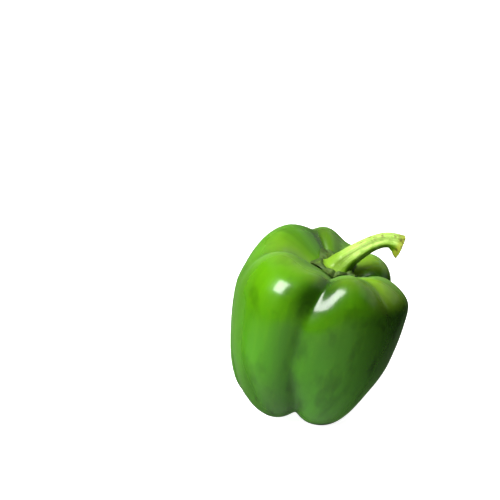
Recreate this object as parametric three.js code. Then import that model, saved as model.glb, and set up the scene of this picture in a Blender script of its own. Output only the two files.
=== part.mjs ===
// A green bell pepper that leans on its blossom-end tips, with its calyx and its cut stem
import * as THREE from 'three';
import { mergeVertices } from 'three/addons/utils/BufferGeometryUtils.js';

const { clamp, degToRad, euclideanModulo, lerp, radToDeg, smoothstep } = THREE.MathUtils;

// Sizes are in millimetres and degrees, in the pepper's own upright frame with the crown towards +Z.
// Azimuths run counter-clockwise from +X, seen from above.
const LEAN_ANGLE = 13;
const REST_FLAT_DEPTH = 0.4;

const BODY = {
  radius: 42.6,
  waistHeight: 58,
  shoulderRise: 34,
  shoulderPower: 4.26,
  basePower: 6.25,
  baseTaper: 0.13,
  taperPower: 1.5,
  coreHeight: 46,
  crownWell: { depth: 17.5, radius: 25 },
  baseWell: { depth: 8.2, radius: 12.6 },
  crownShift: { distance: 3, radius: 18 },
  reliefFade: 0.55,
};

// Every list of four gives the crest, the shoulder, the belly and the foot of the pepper
const SWELL = [2, 2.2, 1.8, 1];

const LOBES = [
  { name: 'front left', azimuth: 236, width: 26, reach: [-4, 6, 7, 1.6] },
  { name: 'front', azimuth: 292, width: 26, reach: [-0.4, 0.7, 0, 0.3] },
  { name: 'right front', azimuth: 342, width: 22, reach: [-5.6, 1.8, -1.5, -4.5] },
  { name: 'right back', azimuth: 30, width: 20, reach: [-1.6, -10.2, -2, -0.5] },
  { name: 'back right', azimuth: 72, width: 18, reach: [-4.4, -2.5, 0, -2] },
  { name: 'back', azimuth: 98, width: 18, reach: [3.5, 3, 0, -1.5] },
  { name: 'back left', azimuth: 130, width: 26, reach: [2.5, 1.5, 1, 7.6] },
  { name: 'left', azimuth: 175, width: 24, reach: [-4.8, -2.6, 0.2, 4.2] },
];

const GROOVES = [
  { name: 'front', azimuth: [265, 257.5, 254.5, 265], depth: [7, 7.2, 4.7, 5.9] },
  { name: 'front shoulder', azimuth: [308, 316, 322, 324], depth: [5.5, 3, 0.4, 0] },
  { name: 'right', azimuth: [3, 5, 6, 8], depth: [8.4, 9, 2.5, 6.5] },
  { name: 'back shoulder', azimuth: [48, 48, 50, 50], depth: [3.4, 2.5, 0.5, 0] },
  { name: 'back', azimuth: [109, 111, 112, 110], depth: [4.5, 5, 2.5, 6.5] },
  { name: 'left', azimuth: [187, 186, 185, 184], depth: [3.5, 1.2, 1, 5.5] },
];
const GROOVE_WIDTH = 12.5;
const GROOVE_SOFTNESS = 3;

const CALYX = {
  radius: 12,
  teeth: 5,
  toothAzimuth: 185,
  toothLength: 2,
  thickness: 1.3,
  ribHeight: 0.4,
  ribRoot: 0.3,
  hub: { height: 2.4, radius: 8 },
  collar: { height: 1.7, radius: 8.8, width: 1.6 },
  gap: 0.5,
};

// The stem's centre line is drawn in the X-Z plane from the middle of the calyx
const STEM = {
  route: [
    [0, 0], [0.2, 2], [1.6, 4.8], [4.9, 9], [9.3, 13], [13.7, 16], [18.8, 18.2], [22.9, 18.4], [26.9, 17.6],
  ],
  girth: [[0, 6.8], [0.12, 5.8], [0.25, 4.8], [0.4, 4.1], [0.6, 3.5], [0.82, 3.5], [1, 4.3]],
  ridges: 5,
  ridgeHeight: 0.25,
  heelStart: 0.83,
  heelReach: 3,
  gap: 0.6,
};

const FINISH = {
  fruit: { color: 0x3f8a1c, roughness: 0.22 },
  calyx: { color: 0x5f8f35, roughness: 0.55 },
  stem: { color: 0x9ccb52, roughness: 0.5 },
};

// Faces around each sub-part and along it
const GRID = {
  fruit: { around: 90, along: 52 },
  calyx: { around: 60, along: 24 },
  stem: { around: 24, along: 30 },
};

const LEVEL_BANDS = { crest: [0.3, 1], shoulder: [-0.1, 0.5], foot: [0.35, 0.95] };
const SIDE_BLEND = 0.3;

const bump = (distance, width) => Math.exp(-((distance / width) ** 2));

const turnBetween = (from, to) => euclideanModulo(to - from + 180, 360) - 180;

// Share of the crest, shoulder, belly and foot at a level that runs from -1 at the base to 1 at the crown
function levelShares(level) {
  const crest = smoothstep(level, ...LEVEL_BANDS.crest);
  const shoulder = smoothstep(level, ...LEVEL_BANDS.shoulder) - crest;
  const foot = smoothstep(-level, ...LEVEL_BANDS.foot);
  return [crest, shoulder, 1 - crest - shoulder - foot, foot];
}

const blend = (shares, values) => shares.reduce((sum, share, i) => sum + share * values[i], 0);

// How far the lobes stand out of the plain body, and the grooves cut into it
function relief(azimuth, shares) {
  let height = blend(shares, SWELL);
  for (const lobe of LOBES) {
    height += blend(shares, lobe.reach) * bump(turnBetween(lobe.azimuth, azimuth), lobe.width);
  }
  for (const groove of GROOVES) {
    const turn = turnBetween(blend(shares, groove.azimuth), azimuth);
    const away = Math.hypot(turn, GROOVE_SOFTNESS) - GROOVE_SOFTNESS;
    height -= blend(shares, groove.depth) * Math.exp(-away / GROOVE_WIDTH);
  }
  return height;
}

// The point of the skin that a direction of the unit sphere stands for
function fruitPoint(direction) {
  const spread = Math.min(1, Math.hypot(direction.x, direction.y));
  const azimuth = radToDeg(Math.atan2(direction.y, direction.x));
  const rising = direction.z > 0;
  const power = rising ? BODY.shoulderPower : BODY.basePower;
  const level = (rising ? 1 : -1) * Math.sqrt(Math.max(0, 1 - spread ** power));
  const crownSide = smoothstep(level, -SIDE_BLEND, SIDE_BLEND);

  const taper = 1 - BODY.baseTaper * Math.max(0, -level) ** BODY.taperPower;
  const radius = BODY.radius * spread * taper;
  const rise = rising ? BODY.shoulderRise : BODY.waistHeight;
  const crownWell = BODY.crownWell.depth * bump(radius, BODY.crownWell.radius);
  const baseWell = BODY.baseWell.depth * bump(radius, BODY.baseWell.radius);
  const height = BODY.waistHeight + rise * level - crownSide * crownWell + (1 - crownSide) * baseWell;

  const point = new THREE.Vector3(0, 0, height - BODY.coreHeight);
  point.x = radius * Math.cos(degToRad(azimuth));
  point.y = radius * Math.sin(degToRad(azimuth));
  const fade = smoothstep(spread, 0, BODY.reliefFade);
  point.setLength(point.length() + fade * relief(azimuth, levelShares(level)));
  point.x += crownSide * BODY.crownShift.distance * bump(radius, BODY.crownShift.radius);
  point.z += BODY.coreHeight;
  return point;
}

// The calyx lies in the crown's well: its underside follows the skin at a small gap
function calyxPoint(direction) {
  const azimuth = Math.atan2(direction.y, direction.x);
  const tooth = Math.cos(CALYX.teeth * (azimuth - degToRad(CALYX.toothAzimuth)));
  const spread = Math.hypot(direction.x, direction.y);
  const radius = spread * (CALYX.radius + CALYX.toothLength * tooth);
  const skinSpread = radius / BODY.radius;
  const below = new THREE.Vector3(Math.cos(azimuth) * skinSpread, Math.sin(azimuth) * skinSpread, 1);
  below.z = Math.sqrt(1 - skinSpread ** 2);

  const topShare = Math.max(0, direction.z);
  const rib = CALYX.ribHeight * tooth * topShare * smoothstep(spread, CALYX.ribRoot, 1);
  const hub = CALYX.hub.height * topShare * bump(radius, CALYX.hub.radius);
  const collar = CALYX.collar.height * topShare * bump(radius - CALYX.collar.radius, CALYX.collar.width);
  const point = fruitPoint(below);
  point.z += CALYX.gap + (CALYX.thickness * (1 + direction.z)) / 2 + rib + hub + collar;
  return point;
}

// Reads a list of [place, value] pairs at a place between two of them
function readList(pairs, place) {
  const next = Math.max(1, pairs.findIndex(([at]) => at >= place));
  const [fromPlace, fromValue] = pairs[next - 1];
  const [toPlace, toValue] = pairs[next];
  return lerp(fromValue, toValue, smoothstep(place, fromPlace, toPlace));
}

// Returns the rule that bends a round bar along the stem's centre line, with its girth, ridges and heel
function stemRule(root) {
  const route = STEM.route.map(([x, z]) => new THREE.Vector3(root.x + x, root.y, root.z + z));
  const centreLine = new THREE.CatmullRomCurve3(route, false, 'centripetal');
  const side = new THREE.Vector3(0, 1, 0);
  return (bar) => {
    const along = clamp(bar.z + 0.5, 0, 1);
    const angle = Math.atan2(bar.y, bar.x);
    const ridge = STEM.ridgeHeight * Math.cos(STEM.ridges * angle);
    const flare = Math.max(0, along - STEM.heelStart) / (1 - STEM.heelStart);
    const heel = STEM.heelReach * flare * Math.max(0, Math.cos(angle)) ** 2;
    const radius = Math.hypot(bar.x, bar.y) * (readList(STEM.girth, along) + ridge + heel);
    const under = new THREE.Vector3().crossVectors(side, centreLine.getTangentAt(along));
    return centreLine.getPointAt(along)
      .addScaledVector(side, radius * Math.sin(angle))
      .addScaledVector(under, radius * Math.cos(angle));
  };
}

// Moves every point of a closed geometry by a rule and welds its seams into one skin
function reshape(geometry, rule) {
  const points = geometry.getAttribute('position');
  const point = new THREE.Vector3();
  for (let i = 0; i < points.count; i += 1) {
    const moved = rule(point.fromBufferAttribute(points, i));
    points.setXYZ(i, moved.x, moved.y, moved.z);
  }
  geometry.deleteAttribute('normal');
  geometry.deleteAttribute('uv');
  const skin = mergeVertices(geometry);
  skin.computeVertexNormals();
  return skin;
}

// Presses the lowest tips flat on the ground plane of the leaning pepper
function pressTips(skin) {
  const up = new THREE.Vector3(0, 0, 1).applyAxisAngle(new THREE.Vector3(0, 1, 0), -degToRad(LEAN_ANGLE));
  const points = skin.getAttribute('position');
  const point = new THREE.Vector3();
  let lowest = Infinity;
  for (let i = 0; i < points.count; i += 1) {
    lowest = Math.min(lowest, point.fromBufferAttribute(points, i).dot(up));
  }
  const ground = lowest + REST_FLAT_DEPTH;
  for (let i = 0; i < points.count; i += 1) {
    const height = point.fromBufferAttribute(points, i).dot(up);
    point.addScaledVector(up, Math.max(0, ground - height));
    points.setXYZ(i, point.x, point.y, point.z);
  }
  return skin;
}

function makeMesh(name, geometry) {
  const mesh = new THREE.Mesh(geometry, new THREE.MeshStandardMaterial({ ...FINISH[name], metalness: 0 }));
  mesh.name = name;
  return mesh;
}

function makeFruit() {
  const globe = new THREE.SphereGeometry(1, GRID.fruit.around, GRID.fruit.along).rotateX(Math.PI / 2);
  return makeMesh('fruit', pressTips(reshape(globe, fruitPoint)));
}

function makeCalyx() {
  const globe = new THREE.SphereGeometry(1, GRID.calyx.around, GRID.calyx.along).rotateX(Math.PI / 2);
  return makeMesh('calyx', reshape(globe, calyxPoint));
}

function makeStem() {
  const root = calyxPoint(new THREE.Vector3(0, 0, 1));
  root.z += STEM.gap;
  const bar = new THREE.CylinderGeometry(1, 1, 1, GRID.stem.around, GRID.stem.along).rotateX(Math.PI / 2);
  return makeMesh('stem', reshape(bar, stemRule(root)));
}

// Leans the upright pepper over and stands it with the middle of its box's bottom face at the origin
function makePepper() {
  const leaning = new THREE.Group();
  leaning.add(makeFruit(), makeCalyx(), makeStem());
  leaning.rotation.y = degToRad(LEAN_ANGLE);
  const pepper = new THREE.Group();
  pepper.add(leaning);
  pepper.updateMatrixWorld(true);
  const box = new THREE.Box3().setFromObject(pepper, true);
  const middle = box.getCenter(new THREE.Vector3());
  leaning.position.set(-middle.x, -middle.y, -box.min.z);
  return pepper;
}

export default makePepper();
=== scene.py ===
"""A green bell pepper with its calyx and cut stem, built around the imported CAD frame."""

import math

import bpy
from bpy.props import FloatProperty, FloatVectorProperty, IntProperty, PointerProperty
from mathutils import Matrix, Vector


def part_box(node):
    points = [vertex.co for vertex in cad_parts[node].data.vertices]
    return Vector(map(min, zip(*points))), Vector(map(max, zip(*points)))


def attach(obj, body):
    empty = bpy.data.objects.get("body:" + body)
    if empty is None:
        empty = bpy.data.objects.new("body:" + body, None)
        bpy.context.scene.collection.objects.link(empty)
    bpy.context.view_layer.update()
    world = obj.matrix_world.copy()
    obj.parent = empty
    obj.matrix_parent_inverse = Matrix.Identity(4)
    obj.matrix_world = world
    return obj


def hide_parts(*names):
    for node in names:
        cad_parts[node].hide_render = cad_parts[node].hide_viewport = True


bl_info = {
    "name": "Bell Pepper",
    "version": (1, 0, 0),
    "blender": (4, 5, 0),
    "location": "3D View > Sidebar > Pepper",
    "description": "Builds a leaning green bell pepper with its calyx, stem and studio",
    "category": "Add Mesh",
}

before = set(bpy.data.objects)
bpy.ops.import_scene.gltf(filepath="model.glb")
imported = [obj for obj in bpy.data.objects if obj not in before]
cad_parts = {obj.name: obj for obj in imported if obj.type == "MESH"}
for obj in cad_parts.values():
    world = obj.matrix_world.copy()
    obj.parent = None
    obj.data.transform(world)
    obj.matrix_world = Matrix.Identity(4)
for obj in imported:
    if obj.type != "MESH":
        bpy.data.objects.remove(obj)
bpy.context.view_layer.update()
BODY_NAME = "root"
MM = 0.001

# The foot of the pepper's own upright axis, in the frame
STAND = Vector((-0.0111724, -0.0001171, 0.0017942))
PLACE_TOLERANCE = 1.2 * MM

# Every list of four gives the crest, the shoulder, the belly and the foot, in metres or degrees
LEVEL_NAMES = ("Crest", "Shoulder", "Belly", "Foot")
SWELL = (0.002, 0.0022, 0.0018, 0.001)

# Lobes: azimuth and width in degrees, then how far each level reaches out
LOBES = {
    "front left": (236, 26, (-0.004, 0.006, 0.007, 0.0016)),
    "front": (292, 26, (-0.0004, 0.0007, 0, 0.0003)),
    "right front": (342, 22, (-0.0056, 0.0018, -0.0015, -0.0045)),
    "right back": (30, 20, (-0.0016, -0.0102, -0.002, -0.0005)),
    "back right": (72, 18, (-0.0044, -0.0025, 0, -0.002)),
    "back": (98, 18, (0.0035, 0.003, 0, -0.0015)),
    "back left": (130, 26, (0.0025, 0.0015, 0.001, 0.0076)),
    "left": (175, 24, (-0.0048, -0.0026, 0.0002, 0.0042)),
}

# Grooves: azimuth at each level, then depth at each level
GROOVES = {
    "front": ((265, 257.5, 254.5, 265), (0.007, 0.0072, 0.0047, 0.0059)),
    "front shoulder": ((308, 316, 322, 324), (0.0055, 0.003, 0.0004, 0)),
    "right": ((3, 5, 6, 8), (0.0084, 0.009, 0.0025, 0.0065)),
    "back shoulder": ((48, 48, 50, 50), (0.0034, 0.0025, 0.0005, 0)),
    "back": ((109, 111, 112, 110), (0.0045, 0.005, 0.0025, 0.0065)),
    "left": ((187, 186, 185, 184), (0.0035, 0.0012, 0.001, 0.0055)),
}
# In degrees: how far a groove spreads, and how round its bottom is
GROOVE_WIDTH = 12.5
GROOVE_SOFTNESS = 3
# Relief grows from none on the axis to all of it at this share of the radius
RELIEF_FADE = 0.55
CROWN_SHIFT_RADIUS = 18 * MM

# Level bands, on a scale from -1 at the base to 1 at the crown
CREST_BAND = (0.3, 1)
SHOULDER_BAND = (-0.1, 0.5)
FOOT_BAND = (0.35, 0.95)
SIDE_BLEND = 0.3
TAPER_POWER = 1.5
# The skin's ripples, as noise scale and detail, and the levels where they die away
RIPPLE_NOISE = (3.2, 1.5)
RIPPLE_STRETCH = Vector((1, 1, 0.45))
RIPPLE_BAND = (0.98, 0.8)

# The stem's centre line from the middle of the calyx, in metres along X and Z
STEM_ROUTE = (
    (-0.0004, -0.0022), (0.0004, 0.0006), (0.0021, 0.0034), (0.0055, 0.0077), (0.0096, 0.012),
    (0.0138, 0.0155), (0.0188, 0.018), (0.0229, 0.0183), (0.0269, 0.0176),
)
STEM_ROOT = (4.2 * MM, 0, 78.8 * MM)

# The stem's girth at places from 0 at the calyx to 1 at the cut, as shares of its widest radius
STEM_GIRTH = (
    (0, 1), (0.05, 0.78), (0.1, 0.66), (0.18, 0.56), (0.28, 0.5), (0.4, 0.46),
    (0.6, 0.4), (0.82, 0.4), (1, 0.49),
)

# Faces round and along, and on the stem also across its ends
CALYX_FACES = (288, 96)
STEM_FACES = (160, 240, 24)
ROUTE_STEPS = 16

# Where the calyx's ribs grow on its radius, and how many fine ribs go with each main one
RIB_BAND = (0.3, 0.8)
VEINS_PER_TOOTH = 4
# Where the stem's end starts to be torn, and its fibres as noise scale and detail
TORN_BAND = (0.95, 1)
TORN_NOISE = (5.0, 4.0)

# The side of the skin towards the key light, as a direction. The skin is painted lighter on this side and
# painted darker on the far side, partly a paler sun-ripened side
KEY_LIGHT_SIDE = Vector((-0.87, -0.5, 0))

# Noises of the skin: scale and detail, and for the patches also roughness
SKIN_NOISE = {
    "clouds": (26.0, 2.0),
    "patches": (4.8, 2.5, 0.55),
    "streaks": (16.0, 3.0),
    "gloss": (60.0, 2.0),
    "waves": (150.0, 2.0),
    "grain": (700.0, 3.0),
    "ridge glint bends": (130.0, 2.0),
    "strand gaps": (90.0, 1.0),
}
PATCH_STRETCH = Vector((1, 1, 0.65))
STREAK_STRETCH = Vector((1, 1, 0.12))
RIDGE_GLINT_BEND = 0.009
RIDGE_GLINT_SCALE = 150.0
FLECK_SCALE = 420.0

# Bands of the skin: where a tint starts and where it is full, then its shares there if not 0 and 1.
# Levels, east and north run from -1 to 1, and creases are in metres.
SKIN_BANDS = {
    "sunlit levels": (-0.2, 0.75),
    "sunlit side": (-0.3, 0.9, 0, 0.9),
    "clouds": (0.4, 0.7, 0, 0.2),
    "streaks": (0.45, 0.75, 0, 0.2),
    "low levels": (0.3, -0.7),
    "low side": (0.3, 0.95, 1, 0.7),
    "shaded side": (0.3, -0.6),
    "shaded levels": (0.75, 0.45),
    "shaded foot": (-0.9, -0.2, 0.3, 1),
    "shaded front": (0.3, 0.05, 0, 0.85),
    "creases": (0.0005, 0.005),
    "crease levels": (0.05, 0.5, 0.12, 1),
    "dull foot levels": (-0.45, -0.8),
    "dull foot side": (0.05, -0.15, 0, 0.3),
    "patches": (0.52, 0.3, 0, 0.35),
    "waxy right side": (0.35, 0.7),
    "waxy right levels": (0.3, 0.65),
    "waxy brow side": (0.65, 0.2),
    "waxy brow levels": (0.6, 0.92, 0, 0.6),
    "waxy back side": (0.3, 0.7),
    "waxy back middle": (-0.5, -0.2),
    "waxy back levels": (0.6, 0.9, 0, 0.4),
    "waxy creases": (0.008, 0.003, 0, 0.8),
    "edge": (0.5, 0.9),
    "edge levels": (0.3, 0.75, 0.45, 1),
    "edge back": (0.1, 0.4),
    "edge back left": (-0.05, -0.3, 0, 0.35),
    # The pale curled lines beside the stem are painted highlights of thin ridges
    "strands": (0.12, 0.02),
    "strand levels": (0.86, 0.93),
    "strand side": (0.08, 0.18),
    "strand back": (-0.12, 0.0),
    "strand gaps": (0.42, 0.55, 0, 0.45),
    "flecks": (0.22, 0.08),
    "fleck clouds": (0.35, 0.6, 0, 0.18),
}
EDGE_SHARE = 0.7
SKIN_ROUGHNESS = {"least": 0.19, "gloss": 0.1, "edge": 0.35}
SKIN_RELIEF = {"waves": 0.5, "grain": 0.15, "streaks": 0.4}
SKIN_RELIEF_HEIGHT = 0.12 * MM
SKIN_COAT = 0.25

# The calyx in the same way; its bands run over the noise, the ribs' wave and the share of the radius
CALYX_NOISE = {"rays": (14.0, 3.0), "grain": (900.0, 3.0)}
RAY_STRETCH = Vector((1, 1, 0.08))
CALYX_BANDS = {
    "rays": (0.42, 0.68, 0, 0.6),
    "dark rays": (0.42, 0.3, 0, 0.3),
    "ribs": (0.3, 1),
    "rib start": (0.25, 0.6, 0, 0.5),
    "near the stem": (0.82, 0.5, 0, 0.35),
}
CALYX_ROUGHNESS = {"least": 0.5, "rays": 0.15}
CALYX_RELIEF = {"rays": 0.8, "grain": 0.2}
CALYX_RELIEF_HEIGHT = 0.2 * MM

# The stem in the same way; its bands run along it, or from -1 on top to 1 underneath
STEM_NOISE = {"fibres": (11.0, 4.0), "mottling": (330.0, 3.0), "dry": (420.0, 4.0), "grain": (1500.0, 2.0)}
FIBRE_STRETCH = 0.35
STEM_BANDS = {
    "foot": (0.42, 0.06, 0, 0.95),
    "fibres": (0.56, 0.36, 0, 0.45),
    "mottling": (0.5, 0.34, 0, 0.5),
    "underside": (-0.2, 0.4),
    "flecks": (0.52, 0.72),
    "fleck fibres": (0.4, 0.6, 0, 0.5),
    "top": (-0.35, -0.95),
    "rubbed": (0.5, 0.66),
    "rubbed start": (0.3, 0.5, 0, 0.85),
    "cut": (0.88, 0.96, 0, 0.9),
    "dry": (0.48, 0.6),
}
TOP_SHARE = 0.2
STEM_ROUGHNESS = {"least": 0.5, "mottling": 0.2}
STEM_RELIEF = {"fibres": 0.7, "mottling": 0.35, "grain": 0.15}
STEM_RELIEF_HEIGHT = 0.35 * MM

# Softboxes: azimuth, elevation and distance from the pepper's middle, width and height, and the
# flag of the rays that they are hidden from
MIDDLE = Vector((0, 0, 0.05))
SOFTBOXES = {
    "Key softbox": (-151, 46, 2.2, (1.8, 1.8), "visible_glossy"),
    "Window": (-134, 62, 2.2, (1.25, 1.85), "visible_diffuse"),
    "Back softbox": (92, 38, 2.4, (2.2, 1.8), None),
    "Right softbox": (28, 32, 2.4, (3.2, 1.6), "visible_diffuse"),
    "Top fill": (35, 55, 2.2, (1.5, 1.5), "visible_glossy"),
}
TABLE_BOUNCE_PLACE = Vector((-0.15, -0.38, 0.003))
TABLE_BOUNCE_SIZE = (1.5, 1.0)
WASH_PLACE = (-0.1, 1.3, 1.8)
WASH_ANGLE = math.radians(60)
WASH_BLEND = 0.9
WASH_RADIUS = 0.3
CAMERA_AIM = Vector((-0.03408, 0.012447, 0.081149))
CAMERA_REACH = 20

FLOOR_HALF = 4.0
FLOOR_NOISE = (40.0, 2.0)
FLOOR_GREYS = ((0.42, 0.42, 0.42), (0.44, 0.44, 0.44))
FLOOR_ROUGHNESS = 0.8
FLOOR_RELIEF_HEIGHT = 0.1 * MM

# The room's light by direction: a brightness, and the bands along the axes that it keeps to
ROOM_TINT = (0.93, 1.0, 0.95, 1)
ROOM_LIGHT = {
    "low": (0.52, (("z", -0.08, -0.3), ("x", 0.9, -0.1), ("y", 0.5, 0.0, 0.15, 1))),
    "behind": (
        0.12,
        (("y", 0.6, 0.85), ("x", 0.15, -0.05), ("x", -0.5, -0.15), ("z", -0.6, -0.45), ("z", 0.3, 0.1)),
    ),
}


class Wire:
    """A node's output that Python's operators extend with Math and Vector Math nodes."""

    def __init__(self, kit, socket):
        self.kit = kit
        self.socket = socket

    def join(self, operation, *values):
        """A maths node of this wire's own kind, with this wire first."""
        vector = self.socket.type == "VECTOR"
        kind = "ShaderNodeVectorMath" if vector else "ShaderNodeMath"
        return self.kit.add(kind, {"operation": operation}, (self, *values))

    def __add__(self, other):
        return self.join("ADD", other)

    def __radd__(self, other):
        return self.join("ADD", other)

    def __sub__(self, other):
        return self.join("SUBTRACT", other)

    def __rsub__(self, other):
        return self * -1 + other

    def __mul__(self, other):
        if self.socket.type == "VECTOR" and self.kit.is_number(other):
            values = {"Vector": self, "Scale": other}
            return self.kit.add("ShaderNodeVectorMath", {"operation": "SCALE"}, values)
        return self.join("MULTIPLY", other)

    def __rmul__(self, other):
        return self * other

    def __truediv__(self, other):
        return self * (1 / other)

    def __rtruediv__(self, other):
        return self.kit.math("DIVIDE", other, self)

    def __pow__(self, power):
        return self.join("POWER", power)

    def __neg__(self):
        return self * -1


class NodeKit:
    """Adds nodes to one geometry or shader tree."""

    def __init__(self, tree):
        self.tree = tree
        self.nodes = tree.nodes
        self.inputs = {}

    @staticmethod
    def is_number(value):
        if isinstance(value, Wire):
            return value.socket.type != "VECTOR"
        return isinstance(value, (int, float))

    def node(self, kind, settings=None, values=()):
        """Adds a node, then sets it, then fills its sockets by name or in order."""
        node = self.nodes.new(kind)
        for name, value in (settings or {}).items():
            setattr(node, name, value)
        sockets = [socket for socket in node.inputs if socket.enabled]
        if isinstance(values, dict):
            pairs = [(next(s for s in sockets if s.name == name), value) for name, value in values.items()]
        else:
            pairs = list(zip(sockets, values))
        for socket, value in pairs:
            self.fill(socket, value)
        return node

    def fill(self, socket, value):
        if isinstance(value, Wire):
            self.tree.links.new(value.socket, socket)
        elif value is not None:
            socket.default_value = value

    def out(self, node, name=None):
        """An output of a node: the first one in use, or the one of a name."""
        sockets = [socket for socket in node.outputs if socket.enabled]
        socket = sockets[0] if name is None else next(s for s in sockets if s.name == name)
        return Wire(self, socket)

    def add(self, kind, settings=None, values=(), output=None):
        return self.out(self.node(kind, settings, values), output)

    def math(self, operation, *values):
        return self.add("ShaderNodeMath", {"operation": operation}, values)

    def smooth(self, value, low, high, start=0.0, end=1.0):
        """A smooth step from start at low to end at high."""
        settings = {"interpolation_type": "SMOOTHSTEP"}
        return self.add("ShaderNodeMapRange", settings, (value, low, high, start, end))

    def bump(self, distance, width):
        """A bell curve: 1 at no distance, and 0.37 at one width."""
        share = distance / width
        return self.math("EXPONENT", share * share * -1)

    def noise(self, place, scale, detail=2.0, roughness=0.5):
        """Soft noise from 0 to 1."""
        values = {"Vector": place, "Scale": scale, "Detail": detail, "Roughness": roughness}
        return self.add("ShaderNodeTexNoise", None, values)

    def split(self, vector):
        node = self.node("ShaderNodeSeparateXYZ", None, (vector,))
        return [Wire(self, socket) for socket in node.outputs]

    def vector(self, x, y, z):
        return self.add("ShaderNodeCombineXYZ", None, (x, y, z))

    def curve(self, value, points):
        """A smooth curve through points from 0 to 1."""
        node = self.node("ShaderNodeFloatCurve", None, {"Value": value})
        line = node.mapping.curves[0]
        while len(line.points) < len(points):
            line.points.new(0.5, 0.5)
        for point, place in zip(line.points, points):
            point.location = place
        node.mapping.update()
        return self.out(node)


class GeometryKit(NodeKit):
    """A named geometry tree with named inputs and outputs."""

    SOCKETS = {
        "geometry": "NodeSocketGeometry",
        "float": "NodeSocketFloat",
        "int": "NodeSocketInt",
        "vector": "NodeSocketVector",
        "material": "NodeSocketMaterial",
    }

    def __init__(self, name, inputs, outputs):
        super().__init__(bpy.data.node_groups.new(name, "GeometryNodeTree"))
        for label, kind in inputs.items():
            self.tree.interface.new_socket(label, in_out="INPUT", socket_type=self.SOCKETS[kind])
        for label, kind in outputs.items():
            self.tree.interface.new_socket(label, in_out="OUTPUT", socket_type=self.SOCKETS[kind])
        entry = self.nodes.new("NodeGroupInput")
        self.exit = self.nodes.new("NodeGroupOutput")
        self.inputs = {label: Wire(self, entry.outputs[label]) for label in inputs}

    def group(self, tree, values):
        """Adds another tree as a node."""
        return self.node("GeometryNodeGroup", {"node_tree": tree}, values)

    def store(self, geometry, name, kind, value):
        """Keeps a value on every point for the material to read."""
        settings = {"data_type": kind, "domain": "POINT"}
        values = {"Geometry": geometry, "Name": name, "Value": value}
        return self.add("GeometryNodeStoreNamedAttribute", settings, values)

    def finish(self, **results):
        """Links the results, named as the tree's outputs are."""
        for label, wire in results.items():
            self.fill(self.exit.inputs[label.capitalize()], wire)
        return self.tree

    def finish_piece(self, geometry, point):
        """Moves the points into place, then smooths, realizes and paints the piece."""
        placed = self.add("GeometryNodeSetPosition", None, {"Geometry": geometry, "Position": point})
        smooth = self.add("GeometryNodeSetShadeSmooth", None, {"Geometry": placed})
        real = self.add("GeometryNodeRealizeInstances", None, {"Geometry": smooth})
        values = {"Geometry": real, "Material": self.inputs["Material"]}
        return self.finish(geometry=self.add("GeometryNodeSetMaterial", None, values))


class ShaderKit(NodeKit):
    """A named material around one Principled shader."""

    def __init__(self, name, bands=None):
        self.bands = bands
        self.material = bpy.data.materials.new(name)
        self.material.use_nodes = True
        super().__init__(self.material.node_tree)
        self.nodes.clear()

    def attribute(self, name, output="Vector"):
        return self.add("ShaderNodeAttribute", {"attribute_name": name}, (), output)

    def object_place(self):
        return self.add("ShaderNodeTexCoord", None, (), "Object")

    def band(self, name, value):
        """How far a value has come through one of the material's own bands."""
        return self.smooth(value, *self.bands[name])

    @staticmethod
    def opaque(paint):
        """A colour as the four numbers that a socket takes; a wire stays as it is."""
        return paint if isinstance(paint, Wire) else (*paint, 1)

    def blend(self, share, first, second):
        """A colour between two others."""
        settings = {"data_type": "RGBA", "clamp_factor": True}
        values = {"Factor": share, "A": self.opaque(first), "B": self.opaque(second)}
        return self.add("ShaderNodeMix", settings, values)

    def cells(self, place, scale, feature="F1"):
        """How far each point is from the middle of its cell, or from the edge."""
        settings = {"feature": feature}
        return self.add("ShaderNodeTexVoronoi", settings, {"Vector": place, "Scale": scale}, "Distance")

    def finish(self, base_color, roughness, height, distance, constants):
        """Joins colour, roughness and relief to the shader; distance scales the relief in metres."""
        normal = self.add("ShaderNodeBump", None, {"Strength": 1.0, "Distance": distance, "Height": height})
        shader = self.node("ShaderNodeBsdfPrincipled")
        self.fill(shader.inputs["Base Color"], base_color)
        self.fill(shader.inputs["Roughness"], roughness)
        self.fill(shader.inputs["Normal"], normal)
        for name, value in constants.items():
            self.fill(shader.inputs[name], value)
        self.node("ShaderNodeOutputMaterial", None, {"Surface": self.out(shader)})
        return self.material


def length(name, description, default):
    return FloatProperty(name=name, description=description, default=default, unit="LENGTH", precision=4)


def angle(name, description, degrees):
    default = math.radians(degrees)
    return FloatProperty(name=name, description=description, default=default, subtype="ANGLE")


def number(name, description, default):
    return FloatProperty(name=name, description=description, default=default)


def colour(name, description, default):
    return FloatVectorProperty(
        name=name, description=description, default=default, subtype="COLOR", size=3, min=0, max=1
    )


class PepperBody(bpy.types.PropertyGroup):
    """Sizes of the fruit in its own upright frame."""

    radius: length("Radius", "From the axis to a flank", 0.0426)
    waist: length("Waist height", "Height of the widest level above the tips", 0.058)
    rise: length("Shoulder rise", "Height of the crest above the waist", 0.034)
    shoulder_power: number("Shoulder power", "Squareness above the waist", 4.26)
    base_power: number("Base power", "Squareness below the waist", 6.25)
    taper: number("Base taper", "How much slimmer the base is", 0.13)
    core: length("Core height", "Height that the lobes swell from", 0.046)
    crown_well: length("Crown well depth", "Depth of the hollow round the stem", 0.0175)
    crown_spread: length("Crown well radius", "Spread of the hollow round the stem", 0.025)
    base_well: length("Base well depth", "Depth of the hollow in the base", 0.0082)
    base_spread: length("Base well radius", "Spread of the hollow in the base", 0.0126)
    shift: length("Crown shift", "How far the crown's middle is off the axis", 0.003)
    lean: angle("Lean", "Turn of the axis towards +X", 13)


class PepperSkin(bpy.types.PropertyGroup):
    """Detail of the fruit's surface."""

    around: IntProperty(name="Faces around", description="Faces in one ring", default=400)
    along: IntProperty(name="Faces along", description="Rings from base to crown", default=222)
    ripple: length("Ripple height", "Height of the long faint waves of the skin", 0.0006)


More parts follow.
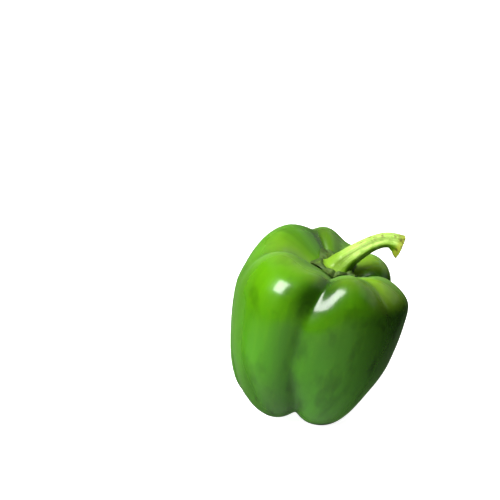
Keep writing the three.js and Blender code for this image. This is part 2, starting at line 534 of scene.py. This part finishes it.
class PepperCalyx(bpy.types.PropertyGroup):
    """Sizes of the calyx."""

    reach: length("Calyx radius", "Middle to rim", 0.012)
    teeth: number("Teeth", "Points round the rim", 5)
    tooth_azimuth: number("Tooth azimuth", "Direction of one point, in degrees", 185)
    tooth: length("Tooth length", "Reach of a point past the rim", 0.002)
    thickness: length("Thickness", "Thickness at the middle", 0.0013)
    rib: length("Rib height", "Height of the main ribs", 0.0003)
    vein: length("Vein height", "Height of the fine ribs", 0.00014)
    hub: length("Hub height", "Rise towards the stem", 0.0024)
    hub_spread: length("Hub radius", "Spread of the rise towards the stem", 0.008)
    collar: length("Collar height", "Height of the ring round the stem's foot", 0.0017)
    collar_radius: length("Collar radius", "Middle to the ring round the stem's foot", 0.0088)
    collar_width: length("Collar width", "Half the width of that ring", 0.0016)
    gap: length("Calyx gap", "Space between calyx and skin", 0.0003)


class PepperStem(bpy.types.PropertyGroup):
    """Sizes of the stem."""

    girth: length("Widest radius", "Radius where the stem leaves the calyx", 0.009)
    ridges: number("Ridges", "Ridges round the stem", 5)
    ridge: length("Ridge height", "Height of the ridges", 0.0004)
    heel: length("Heel reach", "Extra flare under the cut", 0.003)
    heel_start: number("Heel start", "Where the flare begins, from 0 to 1 along the stem", 0.83)
    torn: length("Cut unevenness", "Unevenness of the cut end", 0.0012)


class PepperFinish(bpy.types.PropertyGroup):
    """Colours of the pepper."""

    skin: colour("Skin", "Main green of the skin", (0.0265, 0.1, 0.0005))
    # Pale skin: the skin's own lighter streaks and flecks, and painted light on the side towards the key
    # light
    pale_skin: colour("Pale skin", "Lighter streaks and the sunny side", (0.051, 0.162, 0.001))
    # Low skin: painted bounce light, the lower flanks lighter and fresher green as if lit from the floor
    low_skin: colour("Low skin", "Fresher green of the lower flanks", (0.042, 0.187, 0.002))
    # Waxy skin: painted top light on the shoulders, partly a paler, duller waxy skin
    waxy_skin: colour("Waxy skin", "Paler, duller skin on the shoulders", (0.095, 0.19, 0.006))
    # Rim skin: painted sheen, a milky tint where the skin turns away from the view
    rim_skin: colour("Rim skin", "Milky wax where the skin turns away", (0.09, 0.21, 0.03))
    # Deep skin: painted shade in the grooves, on the far side and at the left foot, and the skin's and
    # calyx's own darker patches and rays
    deep_skin: colour("Deep skin", "Darker grooves and shaded side", (0.0106, 0.0424, 0.0004))
    calyx: colour("Calyx", "Leafy green of the calyx", (0.024, 0.049, 0.005))
    calyx_rib: colour("Calyx ribs", "Lighter green of the ribs", (0.041, 0.075, 0.009))
    stem: colour("Stem", "Lime green of the stem", (0.3, 0.45, 0.095))
    stem_base: colour("Stem base", "Greener foot of the stem", (0.088, 0.175, 0.006))
    # Stem underside: painted shade, the deeper green of the stem's shaded underside
    stem_shade: colour("Stem underside", "Deep green of the stem's underside", (0.065, 0.16, 0.0))
    stem_fleck: colour("Stem flecks", "Pale flecks of the stem", (0.33, 0.42, 0.17))
    scar: colour("Stem scars", "Brown rubbed patches of the stem", (0.075, 0.065, 0.008))
    cut: colour("Cut end", "Dry fibres of the cut end", (0.2, 0.24, 0.02))


def sizes_of(*groups):
    """The sizes of property groups, by the names that the trees' inputs bear."""
    values = {}
    for group in groups:
        for item in group.bl_rna.properties:
            if item.identifier not in {"rna_type", "name"}:
                values[item.name] = getattr(group, item.identifier)
    return values


def input_kinds(values):
    return {label: "int" if isinstance(value, int) else "float" for label, value in values.items()}


def at_level_tree():
    """Reads four values at a level from -1 at the base to 1 at the crown."""
    inputs = {"Level": "float", **dict.fromkeys(LEVEL_NAMES, "float")}
    kit = GeometryKit("Pepper at level", inputs, {"Value": "float"})
    level = kit.inputs["Level"]
    crest = kit.smooth(level, *CREST_BAND)
    upper = kit.smooth(level, *SHOULDER_BAND)
    foot = kit.smooth(-level, *FOOT_BAND)
    shares = (crest, upper - crest, 1 - upper - foot, foot)
    parts = [share * kit.inputs[name] for share, name in zip(shares, LEVEL_NAMES)]
    return kit.finish(value=sum(parts[1:], parts[0]))


def lobe_tree(at_level):
    """How far one lobe stands out at an azimuth and a level."""
    labels = ("Azimuth", "Level", "Lobe azimuth", "Lobe width", *LEVEL_NAMES)
    kit = GeometryKit("Pepper lobe", dict.fromkeys(labels, "float"), {"Height": "float"})
    turn = kit.math("WRAP", kit.inputs["Azimuth"] - kit.inputs["Lobe azimuth"], 180, -180)
    reach = kit.out(kit.group(at_level, {name: kit.inputs[name] for name in ("Level", *LEVEL_NAMES)}))
    return kit.finish(height=reach * kit.bump(turn, kit.inputs["Lobe width"]))


def groove_tree(at_level):
    """How deep one groove cuts in at an azimuth and a level."""
    labels = [f"{name} {part}" for part in ("azimuth", "depth") for name in LEVEL_NAMES]
    inputs = dict.fromkeys(("Azimuth", "Level", *labels), "float")
    kit = GeometryKit("Pepper groove", inputs, {"Depth": "float"})

    def read(part):
        values = {name: kit.inputs[f"{name} {part}"] for name in LEVEL_NAMES}
        return kit.out(kit.group(at_level, {"Level": kit.inputs["Level"], **values}))

    turn = kit.math("WRAP", kit.inputs["Azimuth"] - read("azimuth"), 180, -180)
    away = (turn * turn + GROOVE_SOFTNESS**2) ** 0.5 - GROOVE_SOFTNESS
    return kit.finish(depth=read("depth") * kit.math("EXPONENT", away / -GROOVE_WIDTH))


def skin_tree(body):
    """Sends a direction of the unit sphere to its point of the fruit's skin."""
    outputs = {"Point": "vector", "Place": "vector", "Level": "float", "Crease": "float"}
    kit = GeometryKit("Pepper skin", {"Direction": "vector", **input_kinds(body)}, outputs)
    size = kit.inputs
    x, y, z = kit.split(size["Direction"])
    spread = kit.math("MINIMUM", (x * x + y * y) ** 0.5, 1)
    rising = kit.math("GREATER_THAN", z, 0)
    falling = 1 - rising
    power = size["Shoulder power"] * rising + size["Base power"] * falling
    rise = size["Shoulder rise"] * rising + size["Waist height"] * falling
    level = kit.math("MAXIMUM", 1 - spread**power, 0) ** 0.5 * (rising - falling)
    crown_side = kit.smooth(level, -SIDE_BLEND, SIDE_BLEND)

    taper = 1 - size["Base taper"] * kit.math("MAXIMUM", -level, 0) ** TAPER_POWER
    radius = size["Radius"] * spread * taper
    crown_well = crown_side * size["Crown well depth"] * kit.bump(radius, size["Crown well radius"])
    base_well = (1 - crown_side) * size["Base well depth"] * kit.bump(radius, size["Base well radius"])
    height = size["Waist height"] + rise * level - crown_well + base_well - size["Core height"]

    angle = kit.math("ARCTAN2", y, x)
    spot = {"Azimuth": angle * math.degrees(1), "Level": level}
    at_level = at_level_tree()
    lobe = lobe_tree(at_level)
    groove = groove_tree(at_level)
    relief = kit.out(kit.group(at_level, {"Level": level, **dict(zip(LEVEL_NAMES, SWELL))}))
    for azimuth, width, reaches in LOBES.values():
        shape = {"Lobe azimuth": azimuth, "Lobe width": width, **dict(zip(LEVEL_NAMES, reaches))}
        relief = relief + kit.out(kit.group(lobe, {**spot, **shape}))
    cuts = []
    for azimuths, depths in GROOVES.values():
        lines = {f"{name} azimuth": value for name, value in zip(LEVEL_NAMES, azimuths)}
        deeps = {f"{name} depth": value for name, value in zip(LEVEL_NAMES, depths)}
        cuts.append(kit.out(kit.group(groove, {**spot, **lines, **deeps})))
    crease = sum(cuts[1:], cuts[0])

    cosine, sine = kit.math("COSINE", angle), kit.math("SINE", angle)
    upright = kit.vector(radius * cosine, radius * sine, height)
    reach = kit.add("ShaderNodeVectorMath", {"operation": "LENGTH"}, (upright,))
    fade = kit.smooth(spread, 0, RELIEF_FADE)
    shift = crown_side * size["Crown shift"] * kit.bump(radius, CROWN_SHIFT_RADIUS)
    core = kit.vector(shift, 0, size["Core height"])
    point = upright * (1 + fade * (relief - crease) / reach) + core
    place = kit.vector(cosine, sine, level)
    return kit.finish(point=point, place=place, level=level, crease=crease * fade)


def lean_and_stand(kit, point):
    """Moves a point from the pepper's own upright frame to the shared one."""
    values = {"Vector": point, "Angle": kit.inputs["Lean"]}
    return kit.add("ShaderNodeVectorRotate", {"rotation_type": "Y_AXIS"}, values) + STAND


def fruit_tree(skin, body, detail):
    """The fruit: a unit sphere sent to the skin, rippled, leaned over and pressed flat at its tips."""
    inputs = {"Material": "material", **input_kinds({**body, **detail})}
    kit = GeometryKit("Pepper fruit", inputs, {"Geometry": "geometry"})
    counts = {"Segments": kit.inputs["Faces around"], "Rings": kit.inputs["Faces along"]}
    globe = kit.add("GeometryNodeMeshUVSphere", None, counts, "Mesh")
    direction = kit.add("GeometryNodeInputPosition")
    node = kit.group(skin, {"Direction": direction, **{label: kit.inputs[label] for label in body}})
    place = kit.out(node, "Place")
    wave = kit.noise(place * RIPPLE_STRETCH, *RIPPLE_NOISE) - 0.5
    ripple = wave * kit.inputs["Ripple height"] * kit.smooth(kit.out(node, "Level"), *RIPPLE_BAND)
    point = lean_and_stand(kit, kit.out(node, "Point") + direction * ripple)
    x, y, z = kit.split(point)
    globe = kit.store(globe, "place", "FLOAT_VECTOR", place)
    globe = kit.store(globe, "crease", "FLOAT", kit.out(node, "Crease"))
    return kit.finish_piece(globe, kit.vector(x, y, kit.math("MAXIMUM", z, 0)))


def calyx_tree(skin, body, leaf):
    """The calyx: a flat sphere whose underside follows the hollow of the crown."""
    inputs = {"Material": "material", **input_kinds({**body, **leaf})}
    kit = GeometryKit("Pepper calyx", inputs, {"Geometry": "geometry"})
    size = kit.inputs
    globe = kit.add("GeometryNodeMeshUVSphere", None, CALYX_FACES, "Mesh")
    x, y, z = kit.split(kit.add("GeometryNodeInputPosition"))
    angle = kit.math("ARCTAN2", y, x)
    cosine, sine = kit.math("COSINE", angle), kit.math("SINE", angle)
    spread = kit.math("MINIMUM", (x * x + y * y) ** 0.5, 1)
    turn = angle - size["Tooth azimuth"] * math.radians(1)
    tooth = kit.math("COSINE", turn * size["Teeth"])
    vein = kit.math("COSINE", turn * size["Teeth"] * VEINS_PER_TOOTH)
    radius = spread * (size["Calyx radius"] + size["Tooth length"] * tooth)
    share = radius / size["Radius"]
    direction = kit.vector(cosine * share, sine * share, (1 - share * share) ** 0.5)
    under = kit.group(skin, {"Direction": direction, **{label: size[label] for label in body}})
    top = kit.math("MAXIMUM", z, 0)
    outer = kit.smooth(spread, *RIB_BAND)
    rib = top * outer * (size["Rib height"] * tooth + size["Vein height"] * vein)
    hub = top * size["Hub height"] * kit.bump(radius, size["Hub radius"])
    collar = top * size["Collar height"] * kit.bump(radius - size["Collar radius"], size["Collar width"])
    lift = size["Calyx gap"] + size["Thickness"] * (1 + z) / 2 + rib + hub + collar
    point = kit.out(under, "Point") + kit.vector(0, 0, lift)
    globe = kit.store(globe, "place", "FLOAT_VECTOR", kit.vector(cosine, sine, spread))
    return kit.finish_piece(globe, lean_and_stand(kit, point))


def stem_tree(lean, stalk):
    """The stem: a bar bent along the object's own curve, with ridges, a heel and a torn cut."""
    inputs = {"Geometry": "geometry", "Material": "material", **input_kinds({**lean, **stalk})}
    kit = GeometryKit("Pepper stem", inputs, {"Geometry": "geometry"})
    size = kit.inputs
    bar = kit.add("GeometryNodeMeshCylinder", None, (*STEM_FACES, 1.0, 1.0), "Mesh")
    x, y, z = kit.split(kit.add("GeometryNodeInputPosition"))
    along = kit.math("ADD", z, 0.5)
    angle = kit.math("ARCTAN2", y, x)
    cosine, sine = kit.math("COSINE", angle), kit.math("SINE", angle)
    ridge = size["Ridge height"] * kit.math("COSINE", angle * size["Ridges"])
    flare = kit.math("MAXIMUM", along - size["Heel start"], 0) / (1 - size["Heel start"])
    heel = size["Heel reach"] * flare * kit.math("MAXIMUM", cosine, 0) ** 2
    girth = size["Widest radius"] * kit.curve(along, STEM_GIRTH)
    radius = (x * x + y * y) ** 0.5 * (girth + ridge + heel)
    values = {"Curves": size["Geometry"], "Factor": along}
    sample = kit.node("GeometryNodeSampleCurve", {"mode": "FACTOR"}, values)
    centre, tangent = kit.out(sample, "Position"), kit.out(sample, "Tangent")
    side = kit.vector(0, 1, 0)
    under = kit.add("ShaderNodeVectorMath", {"operation": "CROSS_PRODUCT"}, (side, tangent))
    fibres = kit.noise(kit.vector(x, y, 0), *TORN_NOISE) - 0.5
    torn = fibres * size["Cut unevenness"] * kit.smooth(along, *TORN_BAND)
    bent = centre + side * (radius * sine) + under * (radius * cosine) + tangent * torn
    bar = kit.store(bar, "place", "FLOAT_VECTOR", kit.vector(x, y, along))
    return kit.finish_piece(bar, lean_and_stand(kit, bent))


def shape_piece(carrier, name, tree, values):
    """Runs a tree on a carrier object, and returns the result as a plain mesh object."""
    modifier = carrier.modifiers.new("Shape", "NODES")
    modifier.node_group = tree
    for item in tree.interface.items_tree:
        if item.in_out == "INPUT" and item.name in values:
            modifier[item.identifier] = values[item.name]
    bpy.context.collection.objects.link(carrier)
    graph = bpy.context.evaluated_depsgraph_get()
    mesh = bpy.data.meshes.new_from_object(carrier.evaluated_get(graph))
    carrier.modifiers.clear()
    bpy.data.objects.remove(carrier)
    piece = bpy.data.objects.new(name, mesh)
    bpy.context.collection.objects.link(piece)
    return piece


def check_place(piece, node):
    """Raises an error if a piece isn't where its CAD solid is."""
    points = [vertex.co for vertex in piece.data.vertices]
    for pick, corner in zip((min, max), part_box(node)):
        reached = Vector([pick(point[axis] for point in points) for axis in range(3)])
        apart = (reached - Vector(corner)).length
        if apart > PLACE_TOLERANCE:
            raise RuntimeError(f"The {node} is {apart / MM:.2f} mm off its CAD solid")


def hand_over(piece, node):
    """Puts a finished piece on the body in place of its CAD node."""
    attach(piece, BODY_NAME)
    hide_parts(node)


def skin_tint(kit, finish, place, crease, clouds, streaks):
    """The skin's green before the wax and top light, the sheen and the flecks: painted light on the sunlit
    side and on the lower flanks, painted shade on the far side, in the creases and at the left foot, and
    random patches.
    """
    east, north, level = kit.split(place)
    patches = kit.noise(place * PATCH_STRETCH, *SKIN_NOISE["patches"])
    # Painted light and shade by side: lighter towards the key light, darker on the far side, partly a
    # sun-paled side
    sunny = kit.add("ShaderNodeVectorMath", {"operation": "DOT_PRODUCT"}, (place, KEY_LIGHT_SIDE))
    # Painted bounce light: the lower flanks turn lighter green as if lit from the floor
    low = kit.band("low levels", level) * kit.band("low side", sunny)
    base = kit.blend(low, finish.skin, finish.low_skin)
    # Painted light: the upper side towards the key light turns pale; the clouds and streaks are the skin's
    # own lighter tone
    pale = kit.band("sunlit levels", level) * kit.band("sunlit side", sunny)
    pale = pale + kit.band("clouds", clouds) + kit.band("streaks", streaks)
    base = kit.blend(pale, base, finish.pale_skin)
    # Painted shade: darker in the creases, on the side away from the key light and at the left foot; the
    # random patches are the skin's own darker tone
    deep = kit.band("creases", crease) * kit.band("crease levels", level)
    shaded = kit.band("shaded side", sunny) * kit.band("shaded levels", level)
    deep = deep + shaded * kit.band("shaded foot", level) * kit.band("shaded front", north)
    deep = deep + kit.band("dull foot levels", level) * kit.band("dull foot side", east)
    return kit.blend(deep + kit.band("patches", patches), base, finish.deep_skin)


def skin_wax_and_top_light(kit, place, crease):
    """Shares of the pale tint on the shoulders, brow and back: painted top light, partly a paler, duller
    waxy skin; it fades out in the creases.
    """
    east, north, level = kit.split(place)
    right = kit.band("waxy right side", east) * kit.band("waxy right levels", level)
    brow = kit.band("waxy brow side", north) * kit.band("waxy brow levels", level)
    back = kit.band("waxy back side", north) * kit.band("waxy back middle", east)
    back = back * kit.band("waxy back levels", level)
    return (right + brow + back) * kit.band("waxy creases", crease)


def skin_ridge_highlights(kit, place, spot):
    """Shares of the pale curled lines beside the stem: painted highlights of thin ridges."""
    east, north, level = kit.split(place)
    bend = kit.noise(spot, *SKIN_NOISE["ridge glint bends"]) * RIDGE_GLINT_BEND
    lines = kit.cells(spot + kit.vector(bend, -bend, bend), RIDGE_GLINT_SCALE, "DISTANCE_TO_EDGE")
    shares = kit.band("strands", lines) * kit.band("strand levels", level) * kit.band("strand side", east)
    gaps = kit.noise(spot, *SKIN_NOISE["strand gaps"])
    return shares * kit.band("strand back", north) * kit.band("strand gaps", gaps)


def skin_material(finish):
    """Glossy green skin with painted shade in its creases, painted light and shade by side, a painted milky
    sheen at its edges, soft patches and pale flecks.
    """
    kit = ShaderKit("Waxy pepper skin", SKIN_BANDS)
    place = kit.attribute("place")
    crease = kit.attribute("crease", "Fac")
    spot = kit.object_place()
    east, north, level = kit.split(place)
    clouds = kit.noise(spot, *SKIN_NOISE["clouds"])
    streaks = kit.noise(place * STREAK_STRETCH, *SKIN_NOISE["streaks"])

    base = skin_tint(kit, finish, place, crease, clouds, streaks)
    # Painted top light on the shoulders, brow and back, partly a paler waxy skin
    base = kit.blend(skin_wax_and_top_light(kit, place, crease), base, finish.waxy_skin)
    # Painted sheen: a milky tint blended into the colour where the skin turns away from the view, most on
    # the upper crests and less at the back left; the same edge also roughens the skin and thins its coat
    turned = kit.add("ShaderNodeLayerWeight", None, {"Blend": 0.5}, "Facing")
    edge = kit.band("edge", turned) * kit.band("edge levels", level)
    back_left = kit.band("edge back", north) * kit.band("edge back left", east)
    base = kit.blend(edge * (EDGE_SHARE - back_left), base, finish.rim_skin)
    # Painted highlights: pale curled lines of thin ridges beside the stem, in the sheen colour
    base = kit.blend(skin_ridge_highlights(kit, place, spot), base, finish.rim_skin)
    flecks = kit.band("flecks", kit.cells(spot, FLECK_SCALE)) * kit.band("fleck clouds", clouds)
    base = kit.blend(flecks, base, finish.pale_skin)

    roughness = SKIN_ROUGHNESS["gloss"] * kit.noise(spot, *SKIN_NOISE["gloss"])
    roughness = SKIN_ROUGHNESS["least"] + roughness + SKIN_ROUGHNESS["edge"] * edge
    height = streaks * SKIN_RELIEF["streaks"]
    for name in ("waves", "grain"):
        height = height + kit.noise(spot, *SKIN_NOISE[name]) * SKIN_RELIEF[name]
    constants = {
        "IOR": 1.45,
        "Specular IOR Level": 0.5,
        "Coat Weight": SKIN_COAT * (1 - edge),
        "Coat Roughness": 0.06,
        "Coat IOR": 1.4,
        "Subsurface Weight": 0.12,
        "Subsurface Radius": (0.4, 1.0, 0.15),
        "Subsurface Scale": 0.003,
    }
    return kit.finish(base, roughness, height, SKIN_RELIEF_HEIGHT, constants)


def calyx_material(finish, leaf):
    """Dull leafy green with lighter ribs that run out from the stem."""
    kit = ShaderKit("Leafy calyx", CALYX_BANDS)
    place = kit.attribute("place")
    cosine, sine, spread = kit.split(place)
    rays = kit.noise(place * RAY_STRETCH, *CALYX_NOISE["rays"])
    turn = kit.math("ARCTAN2", sine, cosine) - math.radians(leaf.tooth_azimuth)
    ribs = kit.band("ribs", kit.math("COSINE", turn * leaf.teeth)) * kit.band("rib start", spread)
    base = kit.blend(kit.band("rays", rays) + ribs, finish.calyx, finish.calyx_rib)
    base = kit.blend(kit.band("near the stem", spread), base, finish.stem_base)
    base = kit.blend(kit.band("dark rays", rays), base, finish.deep_skin)
    grain = kit.noise(kit.object_place(), *CALYX_NOISE["grain"])
    height = rays * CALYX_RELIEF["rays"] + grain * CALYX_RELIEF["grain"]
    roughness = CALYX_ROUGHNESS["least"] + CALYX_ROUGHNESS["rays"] * rays
    constants = {"Specular IOR Level": 0.25, "Subsurface Weight": 0.05, "Subsurface Scale": 0.002}
    return kit.finish(base, roughness, height, CALYX_RELIEF_HEIGHT, constants)


def stem_material(finish):
    """Lime ridges with pale flecks, a greener foot, painted shade underneath, rubbed brown patches and a
    dry cut end.
    """
    kit = ShaderKit("Ridged stem", STEM_BANDS)
    spot = kit.object_place()
    x, y, along = kit.split(kit.attribute("place"))
    angle = kit.math("ARCTAN2", y, x)
    ring = kit.vector(kit.math("COSINE", angle), kit.math("SINE", angle), along * FIBRE_STRETCH)
    fibres = kit.noise(ring, *STEM_NOISE["fibres"])
    mottling = kit.noise(spot, *STEM_NOISE["mottling"])
    top = kit.band("top", x)

    base = kit.blend(kit.band("foot", along), finish.stem, finish.stem_base)
    base = kit.blend(kit.band("fibres", fibres), base, finish.stem_base)
    base = kit.blend(kit.band("mottling", mottling), base, finish.stem_base)
    # Painted shade on the stem's underside
    base = kit.blend(kit.band("underside", x), base, finish.stem_shade)
    flecks = kit.band("flecks", mottling) * kit.band("fleck fibres", fibres)
    base = kit.blend(flecks, base, finish.stem_fleck)
    base = kit.blend(top * TOP_SHARE, base, finish.stem_base)
    rubbed = kit.band("rubbed", mottling) * top * kit.band("rubbed start", along)
    base = kit.blend(rubbed, base, finish.scar)
    dry = kit.band("dry", kit.noise(spot, *STEM_NOISE["dry"]))
    base = kit.blend(kit.band("cut", along), base, kit.blend(dry, finish.cut, finish.scar))

    grain = kit.noise(spot, *STEM_NOISE["grain"]) * STEM_RELIEF["grain"]
    height = fibres * STEM_RELIEF["fibres"] + mottling * STEM_RELIEF["mottling"] + grain
    roughness = STEM_ROUGHNESS["least"] + STEM_ROUGHNESS["mottling"] * mottling
    constants = {
        "Specular IOR Level": 0.15,
        "Subsurface Weight": 0.12,
        "Subsurface Radius": (0.7, 1.0, 0.3),
        "Subsurface Scale": 0.0015,
    }
    return kit.finish(base, roughness, height, STEM_RELIEF_HEIGHT, constants)


class PEPPER_OT_add_fruit(bpy.types.Operator):
    """Builds the fruit with its lobes, grooves, crown and base"""

    bl_idname = "pepper.add_fruit"
    bl_label = "Fruit"

    def execute(self, context):
        scene = context.scene
        body, detail = sizes_of(scene.pepper_body), sizes_of(scene.pepper_skin)
        tree = fruit_tree(skin_tree(body), body, detail)
        carrier = bpy.data.objects.new("fruit_carrier", bpy.data.meshes.new("fruit_carrier"))
        values = {**body, **detail, "Material": skin_material(scene.pepper_finish)}
        piece = shape_piece(carrier, "fruit_skin", tree, values)
        check_place(piece, "fruit")
        hand_over(piece, "fruit")
        return {"FINISHED"}


class PEPPER_OT_add_calyx(bpy.types.Operator):
    """Builds the calyx in the hollow of the crown"""

    bl_idname = "pepper.add_calyx"
    bl_label = "Calyx"

    def execute(self, context):
        scene = context.scene
        body, leaf = sizes_of(scene.pepper_body), sizes_of(scene.pepper_calyx)
        tree = calyx_tree(skin_tree(body), body, leaf)
        carrier = bpy.data.objects.new("calyx_carrier", bpy.data.meshes.new("calyx_carrier"))
        values = {**body, **leaf, "Material": calyx_material(scene.pepper_finish, scene.pepper_calyx)}
        piece = shape_piece(carrier, "calyx_leaf", tree, values)
        hand_over(piece, "calyx")
        return {"FINISHED"}


class PEPPER_OT_add_stem(bpy.types.Operator):
    """Builds the bent stem with its cut end"""

    bl_idname = "pepper.add_stem"
    bl_label = "Stem"

    def execute(self, context):
        scene = context.scene
        route = bpy.data.curves.new("stem_route", "CURVE")
        route.dimensions = "3D"
        route.resolution_u = ROUTE_STEPS
        spline = route.splines.new("BEZIER")
        spline.bezier_points.add(len(STEM_ROUTE) - 1)
        for point, (x, z) in zip(spline.bezier_points, STEM_ROUTE):
            point.co = Vector(STEM_ROOT) + Vector((x, 0, z))
            point.handle_left_type = point.handle_right_type = "AUTO"
        lean, stalk = {"Lean": scene.pepper_body.lean}, sizes_of(scene.pepper_stem)
        tree = stem_tree(lean, stalk)
        carrier = bpy.data.objects.new("stem_carrier", route)
        values = {**lean, **stalk, "Material": stem_material(scene.pepper_finish)}
        piece = shape_piece(carrier, "stem_bar", tree, values)
        hand_over(piece, "stem")
        return {"FINISHED"}


class PepperStudio(bpy.types.PropertyGroup):
    """Camera and light. A softbox's brightness is how bright its face is, where white paper is 1."""

    distance: length("Camera distance", "From the camera to the point it looks at", 1.05)
    elevation: angle("Camera elevation", "Angle above the floor", 20)
    view_width: length("View width", "Width of the view at the pepper", 0.25)
    key: number("Key softbox", "Brightness of the main light, which has no reflection", 22)
    window: number("Window", "Brightness of the softbox that makes the highlights", 18)
    back: number("Back softbox", "Brightness of the softbox behind", 0.22)
    right: number("Right softbox", "Brightness of the faint reflection on the right", 0.45)
    top: number("Top fill", "Brightness of the fill light on the crown", 3.4)
    table: number("Table bounce", "Brightness of the light that comes up from the floor", 0.9)
    wash: FloatProperty(
        name="Backdrop wash", description="Power of the lamp on the floor behind", default=320, unit="POWER"
    )
    glow: number("Floor glow", "The floor's own light, which keeps it white", 0.95)
    world_light: number("World light", "Strength of the light from all round", 0.02)


def add_softbox(name, place, target, size, brightness, hidden):
    """Adds a rectangular light that no camera sees and that one kind of ray may miss."""
    light = bpy.data.lights.new(name, "AREA")
    light.shape = "RECTANGLE"
    light.size, light.size_y = size
    light.energy = brightness * math.pi * size[0] * size[1]
    lamp = bpy.data.objects.new(name, light)
    lamp.location = place
    lamp.rotation_euler = (target - place).to_track_quat("-Z", "Y").to_euler()
    lamp.visible_camera = False
    if hidden:
        setattr(lamp, hidden, False)
    bpy.context.collection.objects.link(lamp)


def around(target, azimuth, elevation, distance):
    """The point at a distance from a target, in a direction given in degrees."""
    turn, rise = math.radians(azimuth), math.radians(elevation)
    flat = math.cos(rise)
    return target + distance * Vector((flat * math.cos(turn), flat * math.sin(turn), math.sin(rise)))


def add_floor(studio):
    """Adds the white floor, which neither lights the pepper nor shows in its skin."""
    mesh = bpy.data.meshes.new("floor")
    signs = ((-1, -1), (1, -1), (1, 1), (-1, 1))
    mesh.from_pydata([(x * FLOOR_HALF, y * FLOOR_HALF, 0) for x, y in signs], [], [(0, 1, 2, 3)])
    floor = bpy.data.objects.new("floor", mesh)
    bpy.context.collection.objects.link(floor)
    kit = ShaderKit("Matt white floor")
    mottling = kit.noise(kit.object_place(), *FLOOR_NOISE)
    shade = kit.blend(mottling, *FLOOR_GREYS)
    constants = {
        "Specular IOR Level": 0.1,
        "Emission Strength": studio.glow,
        "Emission Color": (1, 1, 1, 1),
    }
    mesh.materials.append(kit.finish(shade, FLOOR_ROUGHNESS, mottling, FLOOR_RELIEF_HEIGHT, constants))
    floor.visible_diffuse = False
    floor.visible_glossy = False


def add_lamps(studio):
    """Adds the softboxes, the light that the table throws up and the lamp on the floor behind."""
    brightness = sizes_of(studio)
    for name, (azimuth, elevation, distance, size, hidden) in SOFTBOXES.items():
        place = around(MIDDLE, azimuth, elevation, distance)
        add_softbox(name, place, MIDDLE, size, brightness[name], hidden)
    above = TABLE_BOUNCE_PLACE + Vector((0, 0, 1))
    add_softbox(
        "Table bounce", TABLE_BOUNCE_PLACE, above, TABLE_BOUNCE_SIZE, studio.table, "visible_glossy"
    )
    wash = bpy.data.lights.new("Backdrop wash", "SPOT")
    wash.energy = studio.wash
    wash.spot_size = WASH_ANGLE
    wash.spot_blend = WASH_BLEND
    wash.shadow_soft_size = WASH_RADIUS
    lamp = bpy.data.objects.new("Backdrop wash", wash)
    lamp.location = WASH_PLACE
    bpy.context.collection.objects.link(lamp)


def add_room(studio, scene):
    """Adds the dim light of the room, brighter from low down and from behind."""
    world = bpy.data.worlds.new("Studio")
    world.use_nodes = True
    background = world.node_tree.nodes["Background"]
    kit = NodeKit(world.node_tree)
    direction = kit.add("ShaderNodeTexCoord", None, (), "Generated")
    axes = dict(zip("xyz", kit.split(direction)))
    strength = studio.world_light
    for brightness, bands in ROOM_LIGHT.values():
        glow = brightness
        for axis, *band in bands:
            glow = kit.smooth(axes[axis], *band) * glow
        strength = glow + strength
    background.inputs["Color"].default_value = ROOM_TINT
    kit.fill(background.inputs["Strength"], strength)
    scene.world = world


def add_camera(studio, scene):
    """Adds the camera where the photo's stood."""
    camera = bpy.data.cameras.new("Camera")
    camera.angle = 2 * math.atan(studio.view_width / 2 / studio.distance)
    camera.clip_end = CAMERA_REACH
    viewer = bpy.data.objects.new("Camera", camera)
    viewer.location = around(CAMERA_AIM, -90, math.degrees(studio.elevation), studio.distance)
    viewer.rotation_euler = (math.pi / 2 - studio.elevation, 0, 0)
    bpy.context.collection.objects.link(viewer)
    scene.camera = viewer


class PEPPER_OT_add_studio(bpy.types.Operator):
    """Adds the floor, the softboxes, the room light and the camera"""

    bl_idname = "pepper.add_studio"
    bl_label = "Studio"

    def execute(self, context):
        scene = context.scene
        studio = scene.pepper_studio
        add_floor(studio)
        add_lamps(studio)
        add_room(studio, scene)
        add_camera(studio, scene)
        scene.view_settings.view_transform = "Standard"
        return {"FINISHED"}


class PEPPER_PT_panel(bpy.types.Panel):
    """Lists the pieces and their sizes"""

    bl_idname = "PEPPER_PT_panel"
    bl_label = "Bell Pepper"
    bl_space_type = "VIEW_3D"
    bl_region_type = "UI"
    bl_category = "Pepper"

    def draw(self, context):
        for operator, names in PIECES.items():
            box = self.layout.box()
            box.operator(operator)
            for name in names:
                group = getattr(context.scene, name)
                for item in group.bl_rna.properties:
                    if item.identifier not in {"rna_type", "name"}:
                        box.prop(group, item.identifier)


PIECES = {
    "pepper.add_fruit": ("pepper_body", "pepper_skin", "pepper_finish"),
    "pepper.add_calyx": ("pepper_calyx",),
    "pepper.add_stem": ("pepper_stem",),
    "pepper.add_studio": ("pepper_studio",),
}
GROUPS = {
    "pepper_body": PepperBody,
    "pepper_skin": PepperSkin,
    "pepper_calyx": PepperCalyx,
    "pepper_stem": PepperStem,
    "pepper_finish": PepperFinish,
    "pepper_studio": PepperStudio,
}
TOOLS = (
    PEPPER_OT_add_fruit,
    PEPPER_OT_add_calyx,
    PEPPER_OT_add_stem,
    PEPPER_OT_add_studio,
    PEPPER_PT_panel,
)


def register():
    for name, group in GROUPS.items():
        bpy.utils.register_class(group)
        setattr(bpy.types.Scene, name, PointerProperty(type=group))
    for tool in TOOLS:
        bpy.utils.register_class(tool)


def unregister():
    for tool in reversed(TOOLS):
        bpy.utils.unregister_class(tool)
    for name, group in GROUPS.items():
        delattr(bpy.types.Scene, name)
        bpy.utils.unregister_class(group)


def main():
    """Registers the tools, then builds every piece and the studio."""
    register()
    bpy.ops.pepper.add_fruit()
    bpy.ops.pepper.add_calyx()
    bpy.ops.pepper.add_stem()
    bpy.ops.pepper.add_studio()


if __name__ == "__main__":
    main()
